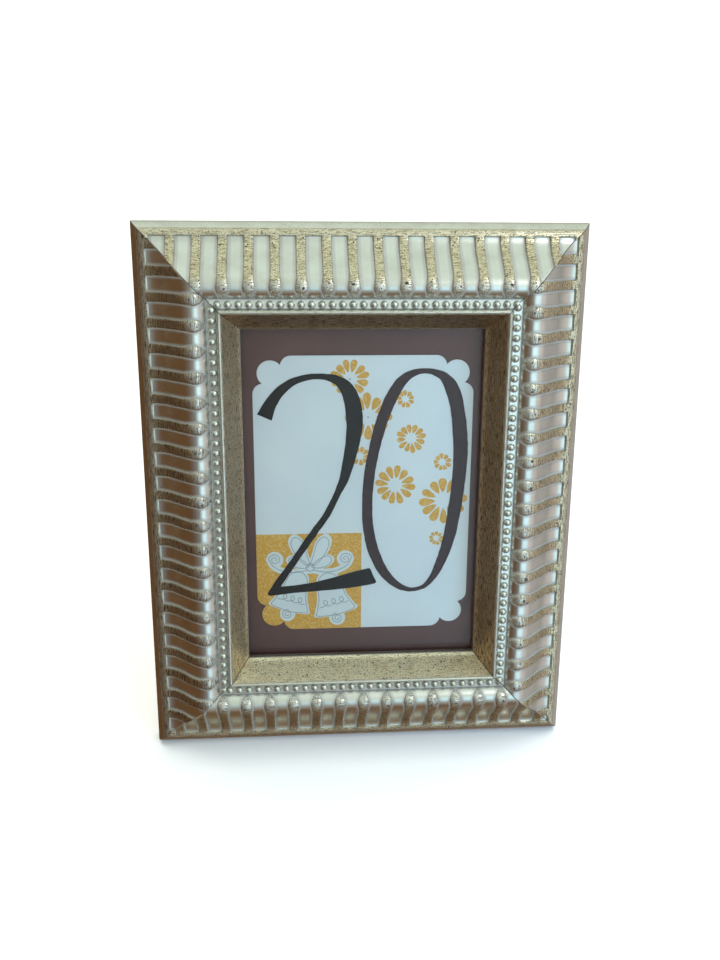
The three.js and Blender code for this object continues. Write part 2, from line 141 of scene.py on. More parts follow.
FACE = face_matrix()
FRAME_WIDTH = (cad_box[1].x - cad_box[0].x) / MM
FRAME_HEIGHT = ((cad_box[1].z - cad_box[0].z) / MM + BACK_Z * math.sin(LEAN_BACK)) / math.cos(LEAN_BACK)

# ---- materials


class Nodes:
    """The node tree of a new material or world, with one short call for each kind of node."""

    def __init__(self, name, kind="materials"):
        self.owner = getattr(bpy.data, kind).new(name)
        self.owner.use_nodes = True
        self.tree = self.owner.node_tree
        self.shader = self.tree.nodes.get("Principled BSDF")

    def link(self, source, target):
        if hasattr(source, "links"):
            self.tree.links.new(source, target)
        else:
            target.default_value = source

    def add(self, kind, out, inputs, **settings):
        node = self.tree.nodes.new(kind)
        for key, value in settings.items():
            setattr(node, key, value)
        for key, value in inputs.items():
            self.link(value, node.inputs[key])
        return node.outputs[out]

    def attribute(self, name):
        return self.add("ShaderNodeAttribute", "Fac", {}, attribute_name=name)

    def position(self):
        return self.add("ShaderNodeTexCoord", "Object", {})

    def scaled(self, vector, scale):
        return self.add("ShaderNodeMapping", "Vector", {"Vector": vector, "Scale": scale})

    def combine(self, x, y, z=0.0):
        return self.add("ShaderNodeCombineXYZ", "Vector", {"X": x, "Y": y, "Z": z})

    def noise(self, vector, scale, detail=3.0, rough=0.55):
        inputs = {"Vector": vector, "Scale": scale, "Detail": detail, "Roughness": rough}
        return self.add("ShaderNodeTexNoise", "Fac", inputs)

    def spots(self, vector, scale):
        return self.add("ShaderNodeTexVoronoi", "Distance", {"Vector": vector, "Scale": scale})

    def math(self, operation, a, b=0.0):
        return self.add("ShaderNodeMath", 0, {0: a, 1: b}, operation=operation)

    def ramp(self, value, low, high, to_low=0.0, to_high=1.0):
        """to_low below `low`, to_high above `high`, smooth between."""
        inputs = {"Value": value, "From Min": low, "From Max": high, "To Min": to_low, "To Max": to_high}
        return self.add("ShaderNodeMapRange", "Result", inputs, interpolation_type="SMOOTHSTEP")

    def mix(self, factor, a, b):
        """A colour between a and b."""
        a, b = (colour if hasattr(colour, "links") else (*colour, 1) for colour in (a, b))
        return self.add("ShaderNodeMix", 2, {0: factor, 6: a, 7: b}, data_type="RGBA")

    def blend(self, factor, a, b):
        """A number between a and b."""
        return self.add("ShaderNodeMix", 0, {0: factor, 2: a, 3: b})

    def vector(self, operation, out, inputs):
        return self.add("ShaderNodeVectorMath", out, inputs, operation=operation)

    def bump(self, height, distance):
        return self.add("ShaderNodeBump", "Normal", {"Height": height, "Distance": distance})

    def finish(self, **sockets):
        """Sets the main shader's sockets, named with _ for a space."""
        for key, value in sockets.items():
            value = (*value, 1) if isinstance(value, tuple) else value
            self.link(value, self.shader.inputs[key.replace("_", " ")])
        return self.owner


def leaf_material():
    """Champagne silver leaf, with rubbed gold on the reeds and bands, fine cracks, specks, dark toning that
    is partly varnish and partly painted shade, and a per-rail bronze that is partly wear and partly painted
    shade.
    """
    n = Nodes("leaf")
    along, across = n.attribute("along"), n.attribute("across")
    gilt, patina_and_shade = n.attribute("gilt"), n.attribute("patina_and_shade")
    mitre, wear_and_shade = n.attribute("mitre"), n.attribute("wear_and_shade")
    plan = n.combine(along, across)
    bevel = n.ramp(across, 51.0, 52.5)
    # Fine cracks run along the rail, so they cross the reeds.
    streaks = n.noise(n.scaled(plan, (0.22, 2.2, 1)), 1.0, 4.0, 0.62)
    cracks = n.ramp(streaks, 0.40, 0.47, 1.0, 0.0)
    broad = n.noise(plan, 0.09, 2.0)
    mottle = n.noise(plan, 1.0, 5.0, 0.7)
    flecks = n.ramp(n.noise(n.scaled(plan, (1.0, 2.2, 1)), 1.1, 2.0, 0.5), 0.585, 0.63)
    dot_size = n.ramp(n.noise(plan, 0.3, 1.0), 0.42, 0.58, 0.0, 0.23)
    dots = n.ramp(n.math("SUBTRACT", dot_size, n.spots(plan, 0.5)), 0.0, 0.03)
    specks = n.math("MAXIMUM", flecks, dots)

    # Gold: rubbed thin on the reeds, paler on the bevel, with warm clouds.
    rubbed = n.mix(n.ramp(mottle, 0.32, 0.62), (0.72, 0.59, 0.36), (0.97, 0.91, 0.70))
    pale = n.mix(n.ramp(mottle, 0.26, 0.54), (0.90, 0.75, 0.47), (1.0, 0.93, 0.71))
    gold = n.mix(bevel, rubbed, pale)
    gold = n.mix(n.ramp(broad, 0.45, 0.68, 0.0, 0.2), gold, (0.60, 0.40, 0.20))
    # Where the rail is worn the gold goes down to a streaky bronze. The amount is set per rail, and the
    # bevels and reeds of rails that face away from the light get more of it as painted shade.
    bronze = n.mix(bevel, (0.20, 0.105, 0.045), (0.42, 0.21, 0.09))
    gold = n.mix(n.math("MULTIPLY", wear_and_shade, n.ramp(streaks, 0.38, 0.62, 1.0, 0.45)), gold, bronze)
    silver = n.mix(n.ramp(broad, 0.35, 0.7), (0.82, 0.83, 0.79), (0.74, 0.74, 0.69))
    silver = n.mix(n.ramp(mottle, 0.64, 0.80, 0.0, 0.2), silver, (0.50, 0.42, 0.30))
    silver = n.mix(bevel, silver, (0.75, 0.79, 0.74))
    # The gold is rubbed off again on the reeds' crests and noses.
    kept = n.math("MAXIMUM", n.ramp(across, 33.0, 37.5, 1.0, 0.25), bevel)
    colour = n.mix(n.math("MULTIPLY", gilt, kept), silver, gold)
    split = n.math("MULTIPLY", n.math("MULTIPLY", cracks, gilt), n.blend(wear_and_shade, 0.42, 0.95))
    colour = n.mix(split, colour, (0.06, 0.032, 0.014))
    # Dark varnish lies in the specks and along the mitres. The toning darkens the hollows and the feet of
    # walls and beads with varnish and painted shade, and it gives the lip under the sight edge a painted
    # shadow.
    dark = n.math("MULTIPLY", specks, n.blend(gilt, 0.05, 0.95))
    dark = n.math("MAXIMUM", dark, n.math("MULTIPLY", patina_and_shade, n.blend(mottle, 0.75, 1.15)))
    dark = n.math("MAXIMUM", dark, n.ramp(mitre, 0.12, 0.55, 0.85, 0.0))
    colour = n.mix(dark, colour, (0.025, 0.013, 0.008))
    rough = n.blend(gilt, 0.31, n.blend(mottle, 0.30, 0.46))
    height = n.math("SUBTRACT", n.math("MULTIPLY", mottle, 0.25), n.math("MULTIPLY", cracks, 0.6))
    height = n.math("MULTIPLY", height, gilt)
    height = n.math("SUBTRACT", height, n.math("MULTIPLY", specks, n.math("MULTIPLY", gilt, 0.5)))
    return n.finish(
        Base_Color=colour,
        Metallic=n.ramp(dark, 0.1, 0.8, 1.0, 0.1),
        Roughness=n.blend(dark, rough, 0.7),
        Normal=n.bump(height, 0.00012),
    )


def wood_material(name, light, dark):
    """Plain stained wood with its grain along the rail."""
    n = Nodes(name)
    plan = n.combine(n.attribute("along"), n.attribute("across"))
    grain = n.noise(n.scaled(plan, (0.025, 0.45, 1)), 1.0, 5.0, 0.6)
    pores = n.noise(n.scaled(plan, (0.12, 2.2, 1)), 1.0, 2.0)
    colour = n.mix(n.ramp(grain, 0.35, 0.68), light, dark)
    colour = n.mix(n.ramp(pores, 0.60, 0.70, 0.0, 0.5), colour, tuple(0.5 * c for c in dark))
    rough = n.blend(grain, 0.52, 0.74)
    return n.finish(Base_Color=colour, Roughness=rough, Normal=n.bump(grain, 0.0002))


def paper_material(name, base, other, rough, tooth=True, shine=0.3):
    """Card or paper: a soft change of tone and, with `tooth`, a fine rough surface."""
    n = Nodes(name)
    cloudy = n.noise(n.position(), 25.0, 3.0)
    n.finish(Base_Color=n.mix(n.ramp(cloudy, 0.35, 0.65), base, other), Specular_IOR_Level=shine)
    if not tooth:
        return n.finish(Roughness=n.ramp(cloudy, 0.3, 0.7, rough - 0.05, rough + 0.05))
    fibre = n.noise(n.position(), 5000.0, 2.0, 0.6)
    fine = n.ramp(fibre, 0.3, 0.7, rough - 0.08, rough + 0.08)
    return n.finish(Roughness=fine, Normal=n.bump(fibre, 0.000004))


def covered_board_material():
    """Black paper with a fine pressed grain over hardboard, rubbed a little grey where it is handled."""
    n = Nodes("black_board")
    where = n.position()
    pebble = n.spots(where, 1400.0)
    worn = n.noise(where, 60.0, 4.0, 0.7)
    colour = n.mix(n.ramp(worn, 0.52, 0.75, 0.0, 0.6), (0.018, 0.017, 0.016), (0.04, 0.037, 0.034))
    rough = n.ramp(worn, 0.3, 0.7, 0.48, 0.66)
    return n.finish(Base_Color=colour, Roughness=rough, Normal=n.bump(pebble, 0.00018))


def ink_material(name, strong, faint, streaky=False):
    """Printed or marker ink, with the card showing through a little where it is thin."""
    n = Nodes(name)
    where = n.scaled(n.position(), (6.0, 1.0, 1.0)) if streaky else n.position()
    cover = n.noise(where, 260.0 if streaky else 900.0, 4.0, 0.7)
    colour = n.mix(n.ramp(cover, 0.42, 0.70), strong, faint)
    rough = n.ramp(cover, 0.3, 0.7, 0.5, 0.68)
    return n.finish(Base_Color=colour, Roughness=rough, Specular_IOR_Level=0.15)


def metal_material(name, base, worn, rough):
    """Plated metal with fine brushing and small dull patches."""
    n = Nodes(name)
    where = n.position()
    brushed = n.noise(n.scaled(where, (1.0, 12.0, 12.0)), 900.0, 3.0)
    patches = n.noise(where, 240.0, 4.0, 0.7)
    colour = n.mix(n.ramp(patches, 0.5, 0.72), base, worn)
    return n.finish(
        Base_Color=colour,
        Metallic=1.0,
        Roughness=n.blend(n.ramp(patches, 0.4, 0.7), rough, rough + 0.22),
        Normal=n.bump(brushed, 0.00002),
    )


def satin_material():
    """Black satin ribbon: ribs across it and a soft sheen."""
    n = Nodes("satin")
    across, along = n.attribute("across"), n.attribute("along")
    rib_pitch = 0.45
    ribs = n.math("SINE", n.math("MULTIPLY", along, 2 * math.pi / rib_pitch))
    selvedge = n.ramp(n.math("ABSOLUTE", across), 4.1, 4.4)
    weave = n.noise(n.combine(along, across), 3.0, 3.0)
    colour = n.mix(n.ramp(weave, 0.4, 0.7), (0.012, 0.011, 0.012), (0.035, 0.032, 0.034))
    return n.finish(
        Base_Color=n.mix(n.math("MULTIPLY", selvedge, 0.5), colour, (0.05, 0.046, 0.048)),
        Roughness=n.blend(selvedge, 0.34, 0.6),
        Sheen_Weight=0.4,
        Normal=n.bump(n.math("ADD", ribs, selvedge), 0.00004),
    )


def glass_material():
    """A clear pane: what is behind shows through, under the sheen of its surface."""
    n = Nodes("pane")
    n.tree.nodes.remove(n.shader)
    clear = n.add("ShaderNodeBsdfTransparent", 0, {"Color": (0.97, 0.985, 0.98, 1)})
    gloss = n.add("ShaderNodeBsdfGlossy", 0, {"Color": (1, 1, 1, 1), "Roughness": 0.03})
    fresnel = n.add("ShaderNodeFresnel", 0, {"IOR": 1.3})
    both = n.add("ShaderNodeMixShader", 0, {0: fresnel, 1: clear, 2: gloss})
    n.link(both, n.tree.nodes["Material Output"].inputs["Surface"])
    return n.owner


LEAF = leaf_material()
RAW_WOOD = wood_material("raw_wood", (0.42, 0.29, 0.17), (0.24, 0.14, 0.07))
WHITE_CARD = paper_material("white_card", (0.66, 0.69, 0.70), (0.63, 0.66, 0.68), 0.45)
PLUM_CARD = paper_material(
    "plum_card", (0.120, 0.055, 0.048), (0.140, 0.066, 0.058), 0.7, tooth=False, shine=0.15
)
GREY_CARD = paper_material("grey_card", (0.40, 0.34, 0.26), (0.34, 0.29, 0.22), 0.8)
BLACK_BOARD = covered_board_material()
GOLD_INK = ink_material("gold_ink", (0.60, 0.30, 0.040), (0.72, 0.48, 0.16))
DARK_INK = ink_material("dark_ink", (0.011, 0.004, 0.003), (0.028, 0.011, 0.010), streaky=True)
THIN_INK = ink_material("thin_ink", (0.040, 0.014, 0.015), (0.075, 0.034, 0.036), streaky=True)
GREY_INK = ink_material("grey_ink", (0.24, 0.25, 0.25), (0.38, 0.39, 0.40))
WHITE_INK = paper_material("white_ink", (0.64, 0.68, 0.69), (0.61, 0.65, 0.66), 0.45)
BRASS = metal_material("brass", (0.62, 0.45, 0.19), (0.36, 0.24, 0.10), 0.28)
STEEL = metal_material("steel", (0.58, 0.58, 0.57), (0.36, 0.35, 0.33), 0.32)
SATIN = satin_material()
PANE = glass_material()

# ---- mesh helpers


def mesh_of(name, vertices, faces, attributes=None):
    mesh = bpy.data.meshes.new(name)
    mesh.from_pydata(np.asarray(vertices, float).tolist(), [], faces)
    for key, values in (attributes or {}).items():
        mesh.attributes.new(key, "FLOAT", "POINT").data.foreach_set("value", np.asarray(values, np.float32))
    return mesh


@contextmanager
def editing(mesh):
    """Lets bmesh's tools work on a mesh and writes the result back to it."""
    bm = bmesh.new()
    bm.from_mesh(mesh)
    yield bm
    bm.to_mesh(mesh)
    bm.free()


def new_object(name, data):
    thing = bpy.data.objects.new(name, data)
    bpy.context.scene.collection.objects.link(thing)
    return thing


def finished(name, mesh, materials, place=FACE, sharp=35):
    """An object from a mesh that is moved to the row frame, gets its materials and is shaded smooth."""
    mesh.transform(place)
    with editing(mesh) as bm:
        bmesh.ops.recalc_face_normals(bm, faces=bm.faces)
    for material in materials:
        mesh.materials.append(material)
    mesh.shade_smooth()
    mesh.set_sharp_from_angle(angle=math.radians(sharp))
    thing = new_object(name, mesh)
    return thing


def piece(name, mesh, body, materials, place=FACE):
    """One visible piece that rides on a CAD body."""
    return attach(finished(name, mesh, materials, place), body)


def with_modifier(thing, kind, **settings):
    """Applies one modifier to a piece's mesh."""
    modifier = thing.modifiers.new(kind.lower(), kind)
    for key, value in settings.items():
        setattr(modifier, key, value)
    depsgraph = bpy.context.evaluated_depsgraph_get()
    mesh = bpy.data.meshes.new_from_object(thing.evaluated_get(depsgraph))
    thing.modifiers.remove(modifier)
    thing.data = mesh


def smooth(points, step, closed=False):
    """Points about `step` apart on a Catmull-Rom curve through the given ones."""
    points = [np.array(point, float) for point in points]
    if closed:
        points = [points[-1], *points, points[0], points[1]]
    else:
        points = [2 * points[0] - points[1], *points, 2 * points[-1] - points[-2]]
    out = []
    for a, b, c, d in zip(points, points[1:], points[2:], points[3:]):
        count = max(2, round(math.dist(b[:2], c[:2]) / step))
        for t in np.arange(count) / count:
            quadratic = 2 * b + (c - a) * t + (2 * a - 5 * b + 4 * c - d) * t**2
            out.append(0.5 * (quadratic + (3 * (b - c) + d - a) * t**3))
    return out if closed else [*out, points[-2]]


def arc_lengths(line):
    return np.concatenate([[0], np.cumsum(np.linalg.norm(np.diff(line, axis=0), axis=1))])


def left_normals(line, closed=False):
    """Unit normals on the left of a flat line of points."""
    tangent = np.roll(line, -1, 0) - np.roll(line, 1, 0) if closed else np.gradient(line, axis=0)
    tangent /= np.linalg.norm(tangent, axis=1)[:, None]
    return np.stack([-tangent[:, 1], tangent[:, 0]], 1)


def grid_faces(rows, columns, closed_rows=False):
    """Quads between the rows of a grid of vertices; closed_rows joins the last row to the first."""
    faces = []
    for i in range(rows if closed_rows else rows - 1):
        a, b = i * columns, ((i + 1) % rows) * columns
        faces += [(a + j, a + j + 1, b + j + 1, b + j) for j in range(columns - 1)]
    return faces


def turned_mesh(name, profile):
    """A solid of revolution about z; the (radius, z) profile runs from axis to axis."""
    sides = 32
    inner = profile[1:-1]
    vertices = [(0, 0, profile[0][1]), (0, 0, profile[-1][1])]
    for radius, z in inner:
        for turn in np.arange(sides) * 2 * math.pi / sides:
            vertices.append((radius * math.cos(turn), radius * math.sin(turn), z))
    faces = []
    for j in range(sides):
        k = (j + 1) % sides
        faces.append((0, 2 + k, 2 + j))
        for i in range(len(inner) - 1):
            a, b = 2 + i * sides, 2 + (i + 1) * sides
            faces.append((a + j, a + k, b + k, b + j))
        last = 2 + (len(inner) - 1) * sides
        faces.append((1, last + j, last + k))
    return mesh_of(name, vertices, faces)


def arc(centre, radius, start, end, count):
    """Points on a circle from one angle to another, in degrees."""
    turns = np.radians(np.linspace(start, end, count))
    return [(centre[0] + radius * math.cos(t), centre[1] + radius * math.sin(t)) for t in turns]


# ---- moulding

SECTION = [
    # stretch, gilt, the points it passes through as (inset, height), and its samples' arcs or their step
    ("strip", 0.15, [(0, -0.5), (0.12, 0.1), (0.6, 1.05), (2.0, 3.0), (3.3, 4.45)], 0.6),
    ("band", 0.85, [(3.3, 4.45), (3.7, 4.9), (4.7, 5.35), (6.0, 5.6)], 0.5),
    ("ogee", 0.0, [(6.0, 5.6), (9.2, 6.3), (13, 8.7), (16.3, 12.1), (19.8, 15.9), (23.4, 19.3), (26, 20.7),
                   (28, 21.25), (29.5, 21.35), (31, 20.95), (32.5, 19.9), (33.8, 18.4), (34.9, 16.6)],
     [0, 0.2, 0.4, 0.6, 0.75, 0.9, 1.2, 1.8, *np.arange(2.7, 26.5, 0.95), *np.arange(26.7, 36.7, 0.5)]),
    ("ledge", 0.0, [(34.9, 16.6), (35.4, 16.62), (37.6, 16.9), (39.7, 17.15)], 0.8),
    ("riser", 0.3, [(39.7, 17.15), (39.95, 18.3), (40.6, 19.0), (41.3, 19.1), (41.9, 18.7)], 0.4),
    ("bevel", 1.0, [(41.9, 18.7), (45.4, 12.6), (48.4, 7.2), (49.3, 6.0), (49.95, 5.4), (50.2, 4.9)], 0.8),
    ("lip", 0.6, [(50.2, 4.9), (50.2, LIP_BACK_Z)], 3),
    ("wood", 0.0, [(50.2, LIP_BACK_Z), (RABBET_INSET, LIP_BACK_Z)], 9),
    ("wood", 0.0, [(RABBET_INSET, LIP_BACK_Z), (RABBET_INSET, BACK_Z)], 20),
    ("wood", 0.0, [(RABBET_INSET, BACK_Z), (0, BACK_Z)], 90),
    ("side", 0.4, [(0, BACK_Z), (0, -0.5)], 9),
]
CREASES = {"band": 0.5, "ledge": 0.8, "riser": 0.9, "bevel": 0.9}  # dark toning where these stretches start: dark varnish and painted shade in the creases
CREASE_WIDTH = 0.3


def stretch_samples(points, spacing):
    """Places along a stretch, its last point left out; straight if it has only two points."""
    if len(points) == 2:
        return [np.array(points[0], float)]
    line = np.array(smooth(points, 0.05))
    arcs = arc_lengths(line)
    if not isinstance(spacing, list):
        spacing = np.linspace(0, arcs[-1], round(arcs[-1] / spacing) + 1)[:-1]
    return [np.array([np.interp(at, arcs, line[:, 0]), np.interp(at, arcs, line[:, 1])]) for at in spacing]


def sampled_section():
    """The section's samples: place, outward normal, arc, gilt, stretch and toning, which is dark varnish
    and painted shade.
    """
    places, gilts, zones = [], [], []
    creases = {}
    for zone, gilt, points, spacing in SECTION:
        if zone in CREASES:
            creases[len(places)] = CREASES[zone]
        samples = stretch_samples(points, spacing)
        places += samples
        gilts += [gilt] * len(samples)
        zones += [zone] * len(samples)
    places = np.array(places)
    arcs = arc_lengths(places)
    # The lip's wall under the sight edge is painted dark all over as a painted shadow. The raw wood doesn't
    # use the toning.
    toning_and_shade = np.where([zone in ("lip", "wood") for zone in zones], 1.0, 0.0)
    for row, depth in creases.items():
        toning_and_shade = np.maximum(toning_and_shade, depth * np.exp(-(((arcs - arcs[row]) / CREASE_WIDTH) ** 2)))
    return places, left_normals(places, closed=True), arcs, np.array(gilts), zones, toning_and_shade


def smoothstep(value, low, high):
    t = np.clip((value - low) / (high - low), 0, 1)
    return t * t * (3 - 2 * t)


def along_nose(arcs):
    return np.clip((arcs - NOSE[0]) / (NOSE[1] - NOSE[0]), 0, 1)


def reed_outline(arcs):
    """Half a reed's width at its foot and at its top, and its wall's width, down to a round nose."""
    foot = (REED_FOOT + REED_SWELL * smoothstep(arcs, *SWELL_ARCS)) * (1 - along_nose(arcs) ** 2.4)
    foot = np.maximum(foot, REED_TIP)[:, None]
    wall = REED_WALL * (0.25 + 0.75 * foot / REED_FOOT)
    return foot, np.maximum(foot - wall, 0.5 * foot), wall


def reed_columns(arcs):
    """Offsets from a reed's middle to the grid's columns, a row for each sample of the section."""
    foot, half, _ = reed_outline(arcs)
    inside = np.array([[0.3, 0.6, 0.8, 0.93, 1.0]]) * half
    side = half + np.array([[0.16, 0.84, 1.0]]) * (foot - half)
    panel = foot + 0.5 * (REED_PITCH / 2 - foot)
    right = np.concatenate([inside, side, panel], 1)
    edge = np.full((len(arcs), 1), -REED_PITCH / 2)
    return np.concatenate([edge, -right[:, ::-1], np.zeros((len(arcs), 1)), right], 1)


def relief(offsets, arcs):
    """How far each grid point lies below the reeds' level, how gilt it is, and how dark it is at the feet
    of the reed walls, with varnish and painted shade.
    """
    foot, half, wall = reed_outline(arcs)
    away = np.abs(offsets)
    # The wall has a soft foot, and the flat top bows a little.
    slope = np.clip((foot - away) / (foot - half), 0, 1)
    wall_height = 0.93 * slope + 0.07 * smoothstep(slope, 0.0, 0.3) * slope
    flat = np.where(away < half, 1 - 0.08 * (away / half) ** 4, 0.92 * wall_height)
    dome = np.sqrt(np.clip(1 - (away / foot) ** 2, 0, 1))
    round_part = smoothstep(arcs, *ROUNDING)[:, None]
    nose = along_nose(arcs)[:, None]
    # The nose stands a little proud, then drops to its tip.
    height = (flat + (dome - flat) * round_part) * (1 + 0.5 * nose) * np.sqrt(np.clip(1 - nose**5, 0, 1))
    panel = smoothstep(arcs, *PANEL_START)[:, None]
    sunk = PANEL_DEPTH * (1 - height) * panel * (1 - smoothstep(arcs, *PANEL_END)[:, None])
    gilt = np.where(panel > 0.5, 1 - smoothstep(away, half + 0.1, half + 0.5 * wall), 0.85)
    gilt = gilt * (1 - 0.25 * smoothstep(arcs, *GILT_FADES)[:, None])
    # The feet of the reed walls are darkened with dark varnish and painted shade in the crease.
    wall_foot_shade = 0.5 * panel * np.exp(-(((away - foot) / 0.28) ** 2))
    return sunk, gilt, wall_foot_shade


def domes(places, radius, squash, sides, rings, toning_and_shade):
    """Closed beads or drops at places (x, y, z, size), darkened from crown to foot by the two toning
    values, on a short hidden stub.
    """
    vertices, faces, patina_and_shade = [], [], []
    levels = [(math.sin(a), math.cos(a)) for a in np.linspace(0, math.pi / 2, rings + 1)[1:]]
    levels.append((0.97, -0.35))
    for x, y, z, size in places:
        base = len(vertices)
        crown = radius * size * squash
        vertices.append((x, y, z + crown))
        patina_and_shade.append(toning_and_shade[0])
        for k, (out, up) in enumerate(levels):
            reach = radius * size * out
            for turn in np.arange(sides) * 2 * math.pi / sides:
                vertices.append((x + reach * math.cos(turn), y + reach * math.sin(turn), z + crown * up))
                patina_and_shade.append(toning_and_shade[0] + (toning_and_shade[1] - toning_and_shade[0]) * (k / len(levels)) ** 3)
        for j in range(sides):
            k = (j + 1) % sides
            faces.append((base, base + 1 + j, base + 1 + k))
            for ring in range(len(levels) - 1):
                a = base + 1 + ring * sides
                faces.append((a + j, a + sides + j, a + sides + k, a + k))
        last = base + 1 + (len(levels) - 1) * sides
        faces.append(tuple(last + j for j in reversed(range(sides))))
    return vertices, faces, patina_and_shade


def centres(phase, pitch, limit):
    """Places from -limit to limit that are `pitch` apart and pass through `phase`."""
    first, last = math.ceil((-limit - phase) / pitch), math.floor((limit - phase) / pitch)
    return [phase + pitch * k for k in range(first, last + 1)]


def moulding_grid(name, length, phase, wear_and_shade, section):
    """The whole moulding as one closed skin along x, longer than the rail at both ends."""
    places, normal, arcs, gilts, zones, toning_and_shade = section
    offsets = reed_columns(arcs)
    sunk, reed_gilt, wall_foot_shade = relief(offsets, arcs)
    ogee = np.array([zone == "ogee" for zone in zones])[:, None]
    sunk, wall_foot_shade = sunk * ogee, wall_foot_shade * ogee
    gilt = np.where(ogee, reed_gilt, gilts[:, None] + 0 * offsets)
    patina_and_shade = np.maximum(wall_foot_shade, toning_and_shade[:, None])
    middles = centres(phase, REED_PITCH, length / 2 + REED_PITCH)
    x = np.concatenate([offsets + middle for middle in middles], 1)
    repeat = len(middles)
    level = places[:, None, :] - np.tile(sunk, repeat)[..., None] * normal[:, None, :]
    vertices = np.concatenate([x[..., None], level], 2)
    rows, columns = x.shape
    faces = grid_faces(rows, columns, closed_rows=True)
    attributes = {
        "along": x.ravel(),
        "across": np.repeat(arcs, columns),
        "gilt": np.tile(gilt, repeat).ravel(),
        "patina_and_shade": np.tile(patina_and_shade, repeat).ravel(),
        "wear_and_shade": np.repeat([wear_and_shade[zone in ("riser", "bevel", "lip")] for zone in zones], columns),
    }
    mesh = mesh_of(name, vertices.reshape(-1, 3), faces, attributes)
    wooden = [zone == "wood" for zone in zones]
    mesh.polygons.foreach_set("material_index", np.repeat(np.array(wooden, np.int32), columns - 1))
    return mesh


def drops_on_reeds(length, phase, rng):
    """Dark drops of old varnish on the crests of most of the reeds."""
    crest_inset, crest_height = 29.2, 21.3
    places = []
    for middle in centres(phase, REED_PITCH, length / 2 - 34):
        if rng.random() < 0.8:
            inset = rng.uniform(27.2, 30.2)
            height = crest_height - 0.06 * (inset - crest_inset) ** 2
            places.append((middle + rng.uniform(-1.0, 1.0), inset, height, rng.uniform(0.55, 1.15)))
    return places


def rail_piece(name, turns, reed_phase, bead_phase, wear_and_shade, section):
    """One rail, `turns` quarter turns round from the bottom one, with its beads and drops in one mesh."""
    length = FRAME_HEIGHT if turns % 2 else FRAME_WIDTH
    rng = random.Random(turns + 7)
    bm = bmesh.new()
    bm.from_mesh(moulding_grid(name, length, reed_phase, wear_and_shade, section))
    bead_limit = length / 2 - BEAD_LINE[0] + 2
    bead_places = [(x, *BEAD_LINE, 1.0) for x in centres(bead_phase, BEAD_PITCH, bead_limit)]
    for places, *shape in (
        # The beads darken towards their feet with varnish and painted shade in the crevice. The drops are
        # dark varnish all over.
        (bead_places, BEAD_RADIUS, 1.0, 20, 6, (0.0, 1.0)),
        (drops_on_reeds(length, reed_phase, rng), DROP_RADIUS, 0.2, 12, 2, (1.0, 1.0)),
    ):
        vertices, faces, patina_and_shade = domes(places, *shape)
        along, across = [v[0] for v in vertices], [SILVER_ACROSS + v[1] for v in vertices]
        none = [0.0] * len(along)
        attributes = {"along": along, "across": across, "gilt": none, "patina_and_shade": patina_and_shade, "wear_and_shade": none}
        bm.from_mesh(mesh_of("part", vertices, faces, attributes))
    # Cut both mitres and close the cut ends with raw wood.
    for end in (-1, 1):
        point = (end * (length / 2 - MITRE_GAP * math.sqrt(2)), 0, 0)
        everything = [*bm.verts, *bm.edges, *bm.faces]
        plane = {"plane_co": point, "plane_no": (end, 1, 0)}
        cut = bmesh.ops.bisect_plane(bm, geom=everything, clear_outer=True, **plane)
        edges = [edge for edge in cut["geom_cut"] if isinstance(edge, bmesh.types.BMEdge)]
        filled = bmesh.ops.holes_fill(bm, edges=edges, sides=0)
        for face in filled["faces"]:
            face.material_index = 1
    mitre = bm.verts.layers.float.new("mitre")
    for vert in bm.verts:
        vert[mitre] = length / 2 - vert.co.y - abs(vert.co.x)
    mesh = bpy.data.meshes.new(name)
    bm.to_mesh(mesh)
    bm.free()
    turn = turns * math.pi / 2
    out = (FRAME_WIDTH if turns % 2 else FRAME_HEIGHT) / 2
    side = Matrix.Translation((out * math.sin(turn), -out * math.cos(turn), 0))
    place = FACE @ (side @ Matrix.Rotation(turn, 4, "Z"))
    rail = piece(name + "_leafed", mesh, "frame", [LEAF, RAW_WOOD], place)
    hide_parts(name)


def add_moulding():
    section = sampled_section()
    # quarter turns, where the first reed and bead stand, and how much bronze the reeds and the bevel get:
    # partly wear, partly painted shade on the rails that face away from the light
    rail_piece("rail_bottom", 0, -0.1, 3.7, (0.45, 0.0), section)
    rail_piece("rail_right", 1, -2.4, 4.8, (0.35, 0.95), section)
    rail_piece("rail_top", 2, -6.3, -3.7, (0.05, 0.8), section)
    rail_piece("rail_left", 3, -4.1, -3.6, (0.85, 0.45), section)


# ---- card and prints


def filled_mesh(name, outlines, low, high):
    """Flat shapes with holes, from z = low to z = high.  An outline inside another is a hole."""
    curve = bpy.data.curves.new(name, "CURVE")
    curve.dimensions = "2D"
    curve.fill_mode = "BOTH"
    curve.extrude = (high - low) / 2
    for outline in outlines:
        spline = curve.splines.new("POLY")
        spline.points.add(len(outline) - 1)
        for point, place in zip(spline.points, outline):
            point.co = (place[0], place[1], 0, 1)
        spline.use_cyclic_u = True
    holder = new_object(name, curve)
    mesh = bpy.data.meshes.new_from_object(holder.evaluated_get(bpy.context.evaluated_depsgraph_get()))
    bpy.data.objects.remove(holder)
    with editing(mesh) as bm:
        bmesh.ops.remove_doubles(bm, verts=bm.verts, dist=1e-4)
    mesh.transform(Matrix.Translation((0, 0, (low + high) / 2)))
    mesh.materials.clear()
    return mesh


SCALLOP = [
    # A corner's round lobe between two round shoulders: middle, radius, bearings and number of points
    ((5.4, 19.2), 5.4, 180, 264, 10), ((8.8, 8.8), 6.5, 130, 320, 26), ((19.2, 5.4), 5.4, 186, 270, 10),
]


